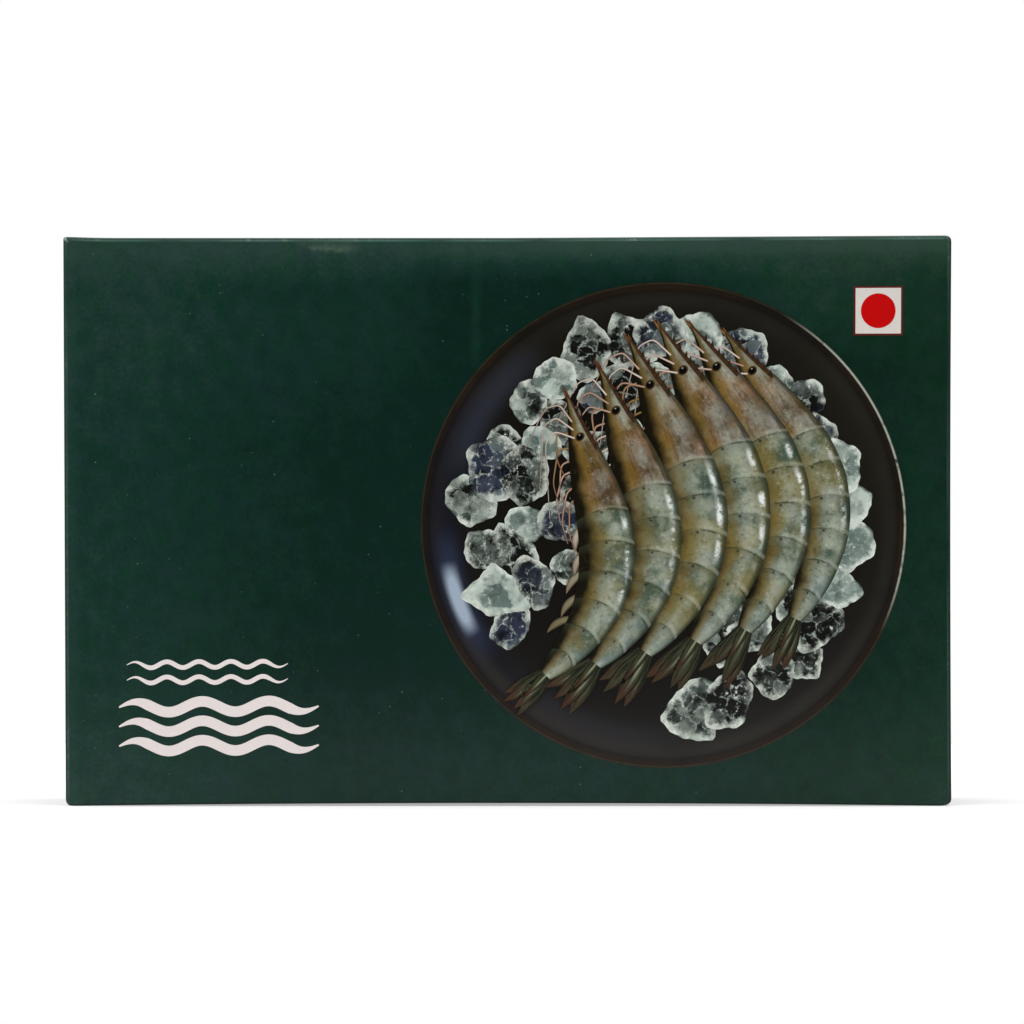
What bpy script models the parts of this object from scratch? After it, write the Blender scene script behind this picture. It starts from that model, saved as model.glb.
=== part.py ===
"""Closed printed food carton, standing on its long bottom wall.

The carton is one folded and glued board blank. Its front panel is the lid: it hinges on the
top fold, and its tuck flap and two side flaps go in behind the bottom and end walls, so thin
seams run round three sides just behind the front. The end walls are rolled over and lock into
slots in the back panel. Shut, it can't be seen into, so it is one solid.

Axes: +X to the right along the longest side, +Y from the front panel to the back, +Z up.
Origin: centre of the footprint, at the floor.
"""

import bmesh
import bpy
from mathutils import Matrix, Vector

# Driving dimensions, in metres
WIDTH = 0.2100
DEPTH = 0.0440
HEIGHT = 0.1343
FOLD_RADIUS = 0.0006

# How far the board has moved from a true box
PANEL_CROWN = 0.0006
TOP_RISE = 0.0006
BOTTOM_BOW = 0.0007
LEFT_LEAN = 0.0006
RIGHT_PINCH = 0.00025

# Seams where the lid and the end walls meet the rest
SEAM_WIDTH = 0.00035
SEAM_DEPTH = 0.0008
END_SEAM_DEPTH = 0.0005
LID_THICKNESS = 0.0009
END_PANEL_INSET = 0.0009

# Slots in the back panel that hold the end walls' tabs
SLOT_LENGTH = 0.0160
SLOT_WIDTH = 0.0011
SLOT_DEPTH = 0.0007
SLOT_FROM_END = 0.0021
SLOT_HEIGHTS = (0.28, 0.72)

# Crushed lower corners of the lid: how far each reaches along X, Y and Z
LEFT_CRUSH = (0.0021, 0.0100, 0.0008)
RIGHT_CRUSH = (0.0032, 0.0140, 0.0010)

# Nick in the lid's lower fold
NICK_WIDTH = 0.0019
NICK_DEPTH = 0.00025
NICK_REACH = 0.0020
NICK_X = -0.0021

# Panels are divided so that they can curve
COLUMNS = 20
ROWS = 12
LAYERS = 4
FOLD_SEGMENTS = 3

# Cutters reach past the board, and the crush cutters are plain cubes
OVERSHOOT = 0.002
CRUSH_CUBE = 0.060
BOARD_GREEN = (0.016, 0.040, 0.031, 1.0)


def remove_objects():
    for old in list(bpy.data.objects):
        bpy.data.objects.remove(old, do_unlink=True)


def new_collection(name):
    collection = bpy.data.collections.new(name)
    bpy.context.scene.collection.children.link(collection)
    return collection


def board_material():
    material = bpy.data.materials.new("laminated_board")
    material.use_nodes = True
    shader = material.node_tree.nodes["Principled BSDF"]
    shader.inputs["Base Color"].default_value = BOARD_GREEN
    shader.inputs["Roughness"].default_value = 0.35
    shader.inputs["Metallic"].default_value = 0.0
    return material


def settled(point):
    """Where a point of the true box lies on the carton as it stands."""
    across = point.x / (WIDTH / 2)
    back = point.y / (DEPTH / 2)
    up = point.z / HEIGHT
    middle = max(0.0, 1 - across**2)
    mid_height = max(0.0, 1 - (2 * up - 1) ** 2)
    crown = PANEL_CROWN * middle * mid_height * back
    lean = LEFT_LEAN * (1 - up) * max(0.0, -across)
    pinch = RIGHT_PINCH * mid_height * max(0.0, across)
    rise = TOP_RISE * max(0.0, across) * up
    bow = BOTTOM_BOW * middle * max(0.0, -back) * (1 - up)
    return Vector((point.x + lean - pinch, point.y + crown, point.z + rise + bow))


def settled_box(name, low, high, cuts, collection):
    """A box from corner low to corner high, divided along each axis and then settled."""
    low, high = Vector(low), Vector(high)
    bm = bmesh.new()
    bmesh.ops.create_cube(bm, size=1.0)
    bmesh.ops.scale(bm, vec=high - low, verts=bm.verts)
    bmesh.ops.translate(bm, vec=(low + high) / 2, verts=bm.verts)
    for axis, pieces in enumerate(cuts):
        normal = Vector([float(i == axis) for i in range(3)])
        for step in range(1, pieces):
            at = low.lerp(high, step / pieces)
            geometry = bm.verts[:] + bm.edges[:] + bm.faces[:]
            bmesh.ops.bisect_plane(bm, geom=geometry, plane_co=at, plane_no=normal)
    for vertex in bm.verts:
        vertex.co = settled(vertex.co)
    mesh = bpy.data.meshes.new(name)
    bm.to_mesh(mesh)
    bm.free()
    made = bpy.data.objects.new(name, mesh)
    collection.objects.link(made)
    return made


def cut(carton, cutter):
    cutter.hide_render = True
    cutter.display_type = "WIRE"
    boolean = carton.modifiers.new(cutter.name, "BOOLEAN")
    boolean.operation = "DIFFERENCE"
    boolean.object = cutter


def carton_body(collection):
    """The shut box with rounded folds."""
    low = (-WIDTH / 2, -DEPTH / 2, 0.0)
    high = (WIDTH / 2, DEPTH / 2, HEIGHT)
    carton = settled_box("carton", low, high, (COLUMNS, LAYERS, ROWS), collection)
    carton.data.materials.append(board_material())
    folds = carton.modifiers.new("folds", "BEVEL")
    folds.width = FOLD_RADIUS
    folds.segments = FOLD_SEGMENTS
    folds.limit_method = "ANGLE"
    return carton


def cut_lid_seam(carton, cutters):
    """The gap behind the lid at both ends and along the bottom: a thin plate less its core."""
    front = -DEPTH / 2 + LID_THICKNESS
    half = WIDTH / 2
    low = (-half - OVERSHOOT, front, -OVERSHOOT)
    high = (half + OVERSHOOT, front + SEAM_WIDTH, HEIGHT + OVERSHOOT)
    plate = settled_box("lid_seam", low, high, (COLUMNS, 1, ROWS), cutters)
    low = (SEAM_DEPTH - half, front - OVERSHOOT, SEAM_DEPTH)
    high = (half - SEAM_DEPTH, front + SEAM_WIDTH + OVERSHOOT, HEIGHT + 2 * OVERSHOOT)
    core = settled_box("lid_seam_core", low, high, (COLUMNS, 1, ROWS), cutters)
    cut(plate, core)
    cut(carton, plate)


def cut_end_panel_seams(carton, cutters):
    """The end panels' raw edges, which lie on the corner flaps of the top and bottom walls."""
    front = -DEPTH / 2 + LID_THICKNESS + SEAM_WIDTH / 2
    back = DEPTH / 2 - END_PANEL_INSET
    for end, side in (("left", -1), ("right", 1)):
        inner = side * (WIDTH / 2 - END_SEAM_DEPTH)
        outer = side * (WIDTH / 2 + OVERSHOOT)
        for edge, height in (("lower", END_PANEL_INSET), ("upper", HEIGHT - END_PANEL_INSET)):
            low = (min(inner, outer), front, height - SEAM_WIDTH / 2)
            high = (max(inner, outer), back, height + SEAM_WIDTH / 2)
            cut(carton, settled_box(f"end_seam_{end}_{edge}", low, high, (1, LAYERS, 1), cutters))


def cut_tab_slots(carton, cutters):
    for end, side in (("left", -1), ("right", 1)):
        middle = side * (WIDTH / 2 - SLOT_FROM_END)
        for number, share in enumerate(SLOT_HEIGHTS):
            low = (middle - SLOT_WIDTH / 2, DEPTH / 2 - SLOT_DEPTH, HEIGHT * share - SLOT_LENGTH / 2)
            high = (middle + SLOT_WIDTH / 2, DEPTH / 2 + OVERSHOOT, HEIGHT * share + SLOT_LENGTH / 2)
            cut(carton, settled_box(f"tab_slot_{end}_{number}", low, high, (1, 1, 1), cutters))


def cut_crushed_corner(carton, cutters, name, side, reach):
    """Takes off a lower front corner along the plane that meets its three edges at reach."""
    corner = Vector((side * WIDTH / 2, -DEPTH / 2, 0.0))
    if side < 0:
        corner.x += LEFT_LEAN
    on_edge = corner - Vector((side * reach[0], 0, 0))
    outward = Vector((side / reach[0], -1 / reach[1], -1 / reach[2])).normalized()
    bm = bmesh.new()
    bmesh.ops.create_cube(bm, size=CRUSH_CUBE)
    mesh = bpy.data.meshes.new(name)
    bm.to_mesh(mesh)
    bm.free()
    cutter = bpy.data.objects.new(name, mesh)
    turn = outward.to_track_quat("Z", "Y").to_matrix().to_4x4()
    cutter.matrix_world = Matrix.Translation(on_edge + outward * CRUSH_CUBE / 2) @ turn
    cutters.objects.link(cutter)
    cut(carton, cutter)


def cut_nick(carton, cutters):
    low = (NICK_X - NICK_WIDTH / 2, -DEPTH / 2 - OVERSHOOT, -OVERSHOOT)
    high = (NICK_X + NICK_WIDTH / 2, -DEPTH / 2 + NICK_REACH, NICK_DEPTH)
    cut(carton, settled_box("nick", low, high, (1, 1, 1), cutters))


def main():
    remove_objects()
    parts = new_collection("printed_food_carton")
    cutters = new_collection("cutters")
    carton = carton_body(parts)
    cut_lid_seam(carton, cutters)
    cut_end_panel_seams(carton, cutters)
    cut_tab_slots(carton, cutters)
    cut_crushed_corner(carton, cutters, "left_crush", -1, LEFT_CRUSH)
    cut_crushed_corner(carton, cutters, "right_crush", 1, RIGHT_CRUSH)
    cut_nick(carton, cutters)


main()
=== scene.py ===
"""Looks of the closed printed food carton: laminated board with its folds, seams and wear, and the
print on its front panel. The panel's layout is in millimetres from the middle of its lower fold."""

import math
import random

import bmesh
import bpy
import numpy as np
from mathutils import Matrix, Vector


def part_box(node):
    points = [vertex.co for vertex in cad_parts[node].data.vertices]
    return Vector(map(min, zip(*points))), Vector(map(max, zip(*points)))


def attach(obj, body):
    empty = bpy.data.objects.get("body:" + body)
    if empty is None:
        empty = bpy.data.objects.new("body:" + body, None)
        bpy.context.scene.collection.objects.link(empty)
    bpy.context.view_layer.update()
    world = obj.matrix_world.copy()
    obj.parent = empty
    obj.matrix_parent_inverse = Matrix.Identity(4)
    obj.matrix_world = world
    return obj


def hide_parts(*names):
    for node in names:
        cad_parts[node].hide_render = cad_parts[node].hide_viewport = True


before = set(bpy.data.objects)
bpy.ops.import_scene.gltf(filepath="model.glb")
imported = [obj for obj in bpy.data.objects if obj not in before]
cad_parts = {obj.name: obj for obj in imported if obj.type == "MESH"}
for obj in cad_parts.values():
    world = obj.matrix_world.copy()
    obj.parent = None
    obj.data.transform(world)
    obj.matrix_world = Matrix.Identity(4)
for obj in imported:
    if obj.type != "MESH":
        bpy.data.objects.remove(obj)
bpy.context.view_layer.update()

MM = 0.001

# How far the board has moved from a true box, as in the solid
PANEL_CROWN = 0.0006
TOP_RISE = 0.0006
BOTTOM_BOW = 0.0007
LEFT_LEAN = 0.0006
RIGHT_PINCH = 0.00025

# The true box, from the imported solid
LOW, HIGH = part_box("carton")
WIDTH = HIGH.x - LOW.x
DEPTH = HIGH.y - LOW.y - 2 * PANEL_CROWN
HEIGHT = HIGH.z - LOW.z - TOP_RISE
# Where the right end, the back and the front lie
END = WIDTH / 2
BACK = DEPTH / 2
FRONT = -BACK

# Folds, seams and slots, as in the solid
FOLD_RADIUS = 0.0006
FOLD_SEGMENTS = 4
SEAM_WIDTH = 0.00035
SEAM_DEPTH = 0.0008
END_SEAM_DEPTH = 0.0005
LID_THICKNESS = 0.0009
END_PANEL_INSET = 0.0009
SLOT_LENGTH = 0.016
SLOT_WIDTH = 0.0011
SLOT_DEPTH = 0.0007
SLOT_FROM_END = 0.0021
SLOT_HEIGHTS = (0.28, 0.72)
OVERSHOOT = 0.002
NICK_X = -0.0021
NICK_WIDTH = 0.0019
NICK_DEPTH = 0.00025
NICK_REACH = 0.002

# Small unevenness that only shows as soft reflections. The ripple's waves have a rate and a phase
RIPPLE = 0.00006
RIPPLE_ALONG = (61, 1.3)
RIPPLE_UP = (83, 0.4)
DENT_PLACE = (-0.0455, 0.1326)
DENT_SIZE = (0.006, 0.0022)
DENT_DEPTH = 0.0003
CREASE_X = -0.0075
CREASE_FROM_TOP = 0.031
CREASE_WIDTH = 0.001
CREASE_HEIGHT = 0.00004
LEFT_PEAK = 0.00025
LEFT_PEAK_REACH = 0.006
# Worn corners, by side and by whether it is an upper one: reach along x and z, and how round
CORNERS = {
    (-1, False): (0.0023, 0.0019, 0.6),
    (1, False): (0.0033, 0.0017, 0.8),
    (1, True): (0.0018, 0.0018, 0.65),
}
ROUNDING_AT_BACK = 0.4
ROUNDING_LINES = 7
LEAST_INSET = 1.1 * FOLD_RADIUS
LEAST_GAP = 0.0002
GRID_STEP = 0.0025
CREASE_GRID = (-0.0014, -0.0007, 0.0, 0.0007, 0.0014)

# Print layout, in millimetres
DISH_CENTRE = (37.0, 66.0)
DISH_RADIUS = 57.6
MARK_CENTRE = (87.75, 116.6)
MARK_SIDE = 11.6
MARK_LINE = 0.42
MARK_DISC = 4.1
LAYER = 0.012
FIRST_LAYER = 0.02

# A printed prawn: the head's share of its length, and the plates of its tail
HEAD_SHARE = 0.395
PLATES = 6

# Camera: level and square to the front panel
VIEW_WIDTH = 0.242
CAMERA_DISTANCE = 1.5
CAMERA_X = 0.0011
CAMERA_HEIGHT = 0.0695
SENSOR = 36.0

# Studio: the floor, and the world's strength, which rises from the side behind the camera
WHITE = (1, 1, 1, 1)
FLOOR_RADIUS = 0.4
FLOOR_TONES = (0.56, 0.6)
FLOOR_GLOW = 0.4
STUDIO_LIGHT = {"From Min": -0.95, "From Max": -0.35, "To Min": 0.015, "To Max": 0.52}
# Square lamps that face the carton: place, side and power
LAMPS = {
    "key": ((-1.25, -1.00, 1.05), 2.4, 21.0),
    "fill": ((1.35, -0.95, 0.8), 2.4, 17.0),
    "top": ((0.0, 0.0, 1.6), 1.2, 19.0),
}

PARTS = bpy.data.collections.new("carton_looks")
bpy.context.scene.collection.children.link(PARTS)


def srgb(red, green, blue):
    """A printed colour, given as 0 to 255, in linear light."""
    values = [c / 255 for c in (red, green, blue)]
    return tuple(c / 12.92 if c <= 0.04045 else ((c + 0.055) / 1.055) ** 2.4 for c in values) + (1.0,)


def smooth(values):
    """Eases 0 to 1, and holds beyond."""
    values = np.clip(values, 0, 1)
    return values * values * (3 - 2 * values)


# Where the board lies


def rounded_corner(point):
    """The worn corner of an end: brought from square towards an ellipse, most at the front."""
    side = 1 if point.x > 0 else -1
    upper = point.z > HEIGHT / 2
    if (side, upper) not in CORNERS:
        return point.copy()
    forward = max(0.0, -point.y / BACK)
    share = ROUNDING_AT_BACK + (1 - ROUNDING_AT_BACK) * forward**2
    *reaches, roundness = CORNERS[side, upper]
    reach_x, reach_z = (reach * share for reach in reaches)
    edge_z = HEIGHT if upper else 0.0
    out = 1 - (END - abs(point.x)) / reach_x
    over = 1 - abs(point.z - edge_z) / reach_z
    if out <= 0 or over <= 0:
        return point.copy()
    x = side * (END - reach_x * (1 - out * math.sqrt(1 - over**2 / 2)))
    inset = reach_z * (1 - over * math.sqrt(1 - out**2 / 2))
    return point.lerp(Vector((x, point.y, edge_z - inset if upper else inset)), roundness)


def settled(point):
    """Where a point of the true box lies on the carton as it stands."""
    point = rounded_corner(point)
    across = point.x / END
    back = point.y / BACK
    up = point.z / HEIGHT
    middle = max(0.0, 1 - across**2)
    mid_height = max(0.0, 1 - (2 * up - 1) ** 2)
    crown = PANEL_CROWN * middle * mid_height * back
    lean = LEFT_LEAN * (1 - up) * max(0.0, -across)
    pinch = RIGHT_PINCH * mid_height * max(0.0, across)
    rise = TOP_RISE * max(0.0, across) * up
    rise += LEFT_PEAK * up * math.exp(-(((point.x + END) / LEFT_PEAK_REACH) ** 2))
    bow = BOTTOM_BOW * middle * max(0.0, -back) * (1 - up)
    ripple = RIPPLE * middle * mid_height
    ripple *= math.sin(RIPPLE_ALONG[0] * point.x + RIPPLE_ALONG[1])
    ripple *= math.cos(RIPPLE_UP[0] * point.z + RIPPLE_UP[1])
    dent_x = (point.x - DENT_PLACE[0]) / DENT_SIZE[0]
    dent_z = (point.z - DENT_PLACE[1]) / DENT_SIZE[1]
    dent = DENT_DEPTH * math.exp(-(dent_x**2 + dent_z**2)) * max(0.0, -back)
    below = (HEIGHT - point.z) / CREASE_FROM_TOP
    crease_x = (point.x - CREASE_X) / CREASE_WIDTH
    crease = CREASE_HEIGHT * math.exp(-(crease_x**2)) * max(0.0, 1 - below) * max(0.0, -back)
    y = point.y + crown + ripple * back + dent - crease
    return Vector((point.x + lean - pinch, y, point.z + rise + bow))


def on_front(x_mm, z_mm, level):
    """The point of a print layer on the front panel."""
    place = settled(Vector((x_mm * MM, FRONT, z_mm * MM)))
    place.y -= (FIRST_LAYER + LAYER * level) * MM
    return place


# Materials


class Nodes:
    """Nodes of a material or world, made one call at a time. An input is a number, colour or socket."""

    def __init__(self, owner):
        self.owner = owner
        owner.use_nodes = True
        self.tree = owner.node_tree
        self.tree.nodes.clear()

    def new(self, kind, inputs=None, **settings):
        node = self.tree.nodes.new("ShaderNode" + kind)
        for key, value in settings.items():
            setattr(node, key, value)
        self.feed(node, inputs or {})
        return node

    def feed(self, node, inputs):
        for key, value in inputs.items():
            if isinstance(value, bpy.types.NodeSocket):
                self.tree.links.new(value, node.inputs[key])
            else:
                node.inputs[key].default_value = value

    def math(self, operation, first, second=0.0, third=0.0):
        inputs = {0: first, 1: second, 2: third}
        return self.new("Math", inputs, operation=operation).outputs[0]

    def minus(self, value, taken):
        return self.math("SUBTRACT", value, taken)

    def line(self, value, slope, start):
        """start, plus slope times value."""
        return self.math("MULTIPLY_ADD", value, slope, start)

    def off(self, value, centre):
        """How far value is from centre, on either side."""
        return self.math("ABSOLUTE", self.minus(value, centre))

    def times(self, *values):
        """The product of all the values. A tuple is a band's value, start and end."""
        values = [self.band(*value) if isinstance(value, tuple) else value for value in values]
        product = values[0]
        for value in values[1:]:
            product = self.math("MULTIPLY", product, value)
        return product

    def mix(self, factor, first, second, blend="MIX"):
        inputs = {0: self.times(factor), 6: first, 7: second}
        return self.new("Mix", inputs, data_type="RGBA", blend_type=blend).outputs[2]

    def sway(self, base, noise, amount):
        """base, moved by amount times the noise's distance from its middle."""
        return self.line(self.minus(noise, 0.5), amount, base)

    def scaled(self, value, centre, size):
        return self.math("DIVIDE", self.minus(value, centre), size)

    def stain(self, ink, colour, *strengths):
        """ink under a colour, which is as strong as the product of the strengths."""
        return self.mix(self.times(*strengths), ink, srgb(*colour))

    def stains(self, ink, *layers):
        """ink under several stains, the first one lowest. Each is a colour and its strengths."""
        for layer in layers:
            ink = self.stain(ink, *layer)
        return ink

    def band(self, value, start, end):
        """0 before start, 1 past end, and smooth between."""
        inputs = {"Value": value, "From Min": start, "From Max": end}
        node = self.new("MapRange", inputs, interpolation_type="SMOOTHSTEP")
        return node.outputs["Result"]

    def peak(self, value, centre, width):
        """1 at centre, falling to 0 at width on either side."""
        return self.band(self.off(value, centre), width, 0.0)

    def place(self, kind="Object"):
        return self.new("TexCoord").outputs[kind]

    def noise(self, place, scale, detail, rough=0.5, output="Fac"):
        inputs = {"Vector": place, "Scale": scale, "Detail": detail, "Roughness": rough}
        return self.new("TexNoise", inputs).outputs[output]

    def split(self, vector):
        node = self.new("SeparateXYZ", {0: vector})
        return node.outputs[0], node.outputs[1], node.outputs[2]

    def join(self, x, y, z):
        return self.new("CombineXYZ", {0: x, 1: y, 2: z}).outputs[0]

    def across_shape(self):
        """A print shape's own place: along, across, and its tone."""
        u, v, _ = self.split(self.new("UVMap", uv_map="print").outputs[0])
        tone = self.new("Attribute", attribute_name="tone").outputs["Fac"]
        return u, v, tone


class Surface(Nodes):
    """A material with one shader."""

    def __init__(self, name):
        super().__init__(bpy.data.materials.new(name))
        self.shader = self.new("BsdfPrincipled")
        self.new("OutputMaterial", {"Surface": self.shader.outputs[0]})

    def shade(self, inputs):
        """Gives the shader its inputs and returns the material."""
        self.feed(self.shader, inputs)
        return self.owner


LAMINATE_ROUGHNESS = 0.18
LAMINATE_SMUDGE = 0.08
WORN_ROUGHNESS = 0.3
LAMINATE = {"IOR": 1.4, "Specular IOR Level": 0.2, "Coat Weight": 0.02, "Coat Roughness": 0.12}


def laminate(nodes, colour, wear=None):
    """Clear gloss film over the ink: the same over the ground and every printed shape."""
    place = nodes.place()
    rough = nodes.line(nodes.noise(place, 38.0, 3.0), LAMINATE_SMUDGE, LAMINATE_ROUGHNESS)
    if wear is not None:
        rough = nodes.line(wear, WORN_ROUGHNESS, rough)
    peel = nodes.noise(place, 1400.0, 2.0)
    bump = nodes.new("Bump", {"Height": peel, "Strength": 0.05, "Distance": 0.00005})
    return nodes.shade({**LAMINATE, "Base Color": colour, "Roughness": rough, "Normal": bump.outputs[0]})


# Board inks

GROUND_DARK = srgb(10, 35, 28)
GROUND_MID = srgb(20, 48, 40)
GROUND_LIGHT = srgb(38, 63, 55)
GROUND_TINTS = ((0.83, 1.04, 0.86, 1), (1.2, 0.975, 1.17, 1))
YELLOWER = (1.03, 1.0, 0.84, 1)
HIDDEN_SIDES_LEAST = 0.5

# A pale wedge below the upper fold, a painted highlight of the dent there: where it starts and fades, and
# its lower side
HIGHLIGHT_START = -0.0525
HIGHLIGHT_RISE = 0.011
HIGHLIGHT_FADE = (-0.0325, -0.041)
HIGHLIGHT_START_HEIGHT = 0.1334
HIGHLIGHT_SLOPE = -0.27
HIGHLIGHT_FLOOR = 0.131


def ground_ink_and_sheen(nodes, flat, front):
    """Green ink, darkest in the middle, made lighter towards the ends and the long folds by painted sheen.
    """
    x, _, z = nodes.split(flat)
    far = nodes.sway(0.0, nodes.noise(flat, 16.0, 2.0), 0.24)
    # Painted sheen towards the left, right, upper and lower folds and at the upper left, a painted
    # reflection at the upper right, and a painted highlight by the crease
    for strengths in (
        ((x, -0.03, -0.1), 0.5),
        ((x, 0.075, 0.105), 0.28),
        ((z, 0.1215, 0.1335), 0.95),
        ((z, 0.034, 0.004), 0.24),
        ((x, -0.012, -0.03), (z, 0.083, 0.115), 0.34),
        (nodes.peak(x, 0.076, 0.045), (z, 0.101, 0.121), 0.58),
        (nodes.peak(x, CREASE_X, 0.002), (z, 0.097, 0.11), 0.32),
    ):
        far = nodes.line(nodes.times(*strengths), nodes.minus(1.0, far), far)
    far = nodes.math("MAXIMUM", far, nodes.minus(HIDDEN_SIDES_LEAST, front))
    far = nodes.sway(far, nodes.noise(flat, 220.0, 2.0), 0.55)
    far = nodes.sway(far, nodes.noise(flat, 1100.0, 3.0, 0.7), 0.66)
    ink = nodes.mix(nodes.times(far, 2.0), GROUND_DARK, GROUND_MID)
    ink = nodes.mix(nodes.line(far, 2.0, -1.0), ink, GROUND_LIGHT)
    tint = nodes.mix((nodes.noise(flat, 210.0, 5.0, 0.72), 0.3, 0.7), *GROUND_TINTS)
    ink = nodes.mix(1.0, ink, tint, "MULTIPLY")
    # Slightly yellower towards the right end
    return nodes.mix(nodes.times((x, 0.02, 0.09), front), ink, YELLOWER, "MULTIPLY")


def sheen_beside_folds(nodes, ink, flat, front):
    """Painted sheen: a little paler beside the upper fold, most on the right, and beside the left one."""
    x, _, z = nodes.split(flat)
    upper = nodes.times((z, HEIGHT - 0.006, HEIGHT - 0.0015), (x, -0.045, 0.03))
    left = nodes.band(x, 0.0045 - END, 0.001 - END)
    return nodes.stains(ink, ((54, 76, 67), upper, front, 0.46), ((54, 76, 70), left, front, 0.15))


def fold_distances(nodes, x, y, z):
    """How far a place is from the nearest fold and from the nearest corner."""
    side = nodes.minus(END, nodes.math("ABSOLUTE", x))
    deep = nodes.minus(BACK, nodes.math("ABSOLUTE", y))
    high = nodes.math("MINIMUM", z, nodes.minus(HEIGHT, z))
    least = nodes.math("MINIMUM", side, deep)
    most = nodes.math("MAXIMUM", side, deep)
    fold = nodes.math("MAXIMUM", least, nodes.math("MINIMUM", most, high))
    return fold, nodes.math("MAXIMUM", most, high)


def worn_and_highlit_folds(nodes, ink, flat, scuff):
    """The ink with a painted highlight along its folds and with its worn folds and corners, and how far
    each place is worn.
    """
    x, y, z = nodes.split(flat)
    fold, corner = fold_distances(nodes, x, y, z)
    patchy = nodes.noise(flat, 45.0, 2.0)
    # A painted highlight along the folds, where they would catch the light: most at the top, less at the
    # ends, not along the bottom
    by_end = nodes.band(nodes.math("ABSOLUTE", x), END - 0.0022, END - 0.0012)
    off_floor = nodes.band(z, 0.0012, 0.004)
    fold_highlight = nodes.times(nodes.peak(fold, 0.0007, 0.00036), (patchy, 0.3, 0.6), off_floor)
    ink = nodes.stain(ink, (104, 140, 128), fold_highlight, nodes.line(by_end, -0.3, 0.44))
    # Folds and corners rubbed through to pale fibre in places, most at the upper left corner
    rub = nodes.times(nodes.peak(fold, 0.0006, 0.0004), (patchy, 0.5, 0.66), off_floor)
    rub = nodes.times(rub, (scuff, 0.52, 0.66), nodes.line(by_end, -0.32, 0.45))
    tip = nodes.band(nodes.line(scuff, 0.003, corner), 0.0026, 0.0014)
    upper_left = nodes.times((x, 0.0, -0.1), (z, 0.05, 0.12))
    tip = nodes.times(tip, nodes.line(upper_left, 0.75, 0.15))
    wear = nodes.math("MAXIMUM", rub, tip)
    return nodes.stain(ink, (168, 184, 176), wear), wear


def dent_highlight(nodes, flat, scuff):
    """Strength of the painted highlight below the upper fold, where its dent would catch the light:
    strongest along its slanted lower side.
    """
    x, _, z = nodes.split(flat)
    low = nodes.line(nodes.minus(x, HIGHLIGHT_START), HIGHLIGHT_SLOPE, HIGHLIGHT_START_HEIGHT)
    low = nodes.math("MAXIMUM", low, HIGHLIGHT_FLOOR)
    above = nodes.sway(nodes.minus(z, low), scuff, 0.0022)
    body = nodes.line(nodes.band(above, 0.0018, 0.0005), 0.5, 0.5)
    ends = nodes.times((x, HIGHLIGHT_START, HIGHLIGHT_START + HIGHLIGHT_RISE), (x, *HIGHLIGHT_FADE))
    return nodes.times((above, -0.0007, 0.0007), body, ends, (scuff, 0.2, 0.7))


def shaded_bends(nodes, ink, flat):
    """The front's bends in shade at their outer side: most on the right, least on the left."""
    x, y, z = nodes.split(flat)
    bend = nodes.band(y, FRONT + 0.001, FRONT + 0.0006)
    right = nodes.times((x, END - 0.00065, END - 0.00035), 0.75)
    left = nodes.times((x, 0.00055 - END, 0.00025 - END), 0.4)
    foot = nodes.times((z, 0.0006, 0.00025), 0.65)
    shade = nodes.math("MAXIMUM", foot, nodes.math("MAXIMUM", left, right))
    return nodes.stain(ink, (6, 20, 20), shade, bend)


def dust(nodes, ink, flat):
    """Pale specks, least on the right."""
    x, _, _ = nodes.split(flat)
    specks = nodes.new("TexVoronoi", {"Vector": flat, "Scale": 400.0, "Randomness": 1.0})
    spot = nodes.band(specks.outputs["Distance"], 0.095, 0.045)
    pick = nodes.band(nodes.split(specks.outputs["Color"])[0], 0.5, 1.5)
    thin = nodes.line(nodes.band(x, 0.02, 0.095), -0.8, 1.0)
    return nodes.stain(ink, (118, 136, 126), spot, pick, thin)


def board_material():
    """Green print under film, with painted sheen, highlights and shade. Worn on the folds and corners, with
    specks of dust.
    """
    nodes = Surface("laminated_board")
    flat = nodes.new("Attribute", attribute_name="flat").outputs["Vector"]
    _, y, _ = nodes.split(flat)
    front = nodes.band(y, FRONT + 0.003, FRONT + 0.001)
    scuff = nodes.noise(flat, 700.0, 4.0, 0.65)
    ink = ground_ink_and_sheen(nodes, flat, front)
    ink = sheen_beside_folds(nodes, ink, flat, front)
    ink, wear = worn_and_highlit_folds(nodes, ink, flat, scuff)
    # A painted highlight below the upper fold, where the dent there would catch the light
    ink = nodes.stain(ink, (76, 95, 80), dent_highlight(nodes, flat, scuff), front)
    ink = shaded_bends(nodes, ink, flat)
    return laminate(nodes, dust(nodes, ink, flat), wear)


def core_material():
    """The board's cut edge: pale layered fibre."""
    nodes = Surface("board_core")
    fibre = nodes.noise(nodes.place(), 3000.0, 3.0)
    bump = nodes.new("Bump", {"Height": fibre, "Strength": 0.4, "Distance": 0.0001})
    inputs = {
        "Base Color": nodes.mix(fibre, srgb(120, 112, 96), srgb(186, 178, 160)),
        "Roughness": nodes.line(fibre, 0.1, 0.82),
        "Normal": bump.outputs[0],
    }
    return nodes.shade(inputs)


# Print inks


def plain_ink(name, colour, other):
    """One ink, with the slight mottle of printing."""
    nodes = Surface(name)
    mottle = nodes.noise(nodes.place(), 900.0, 2.0)
    return laminate(nodes, nodes.mix(mottle, srgb(*colour), srgb(*other)))


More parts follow.
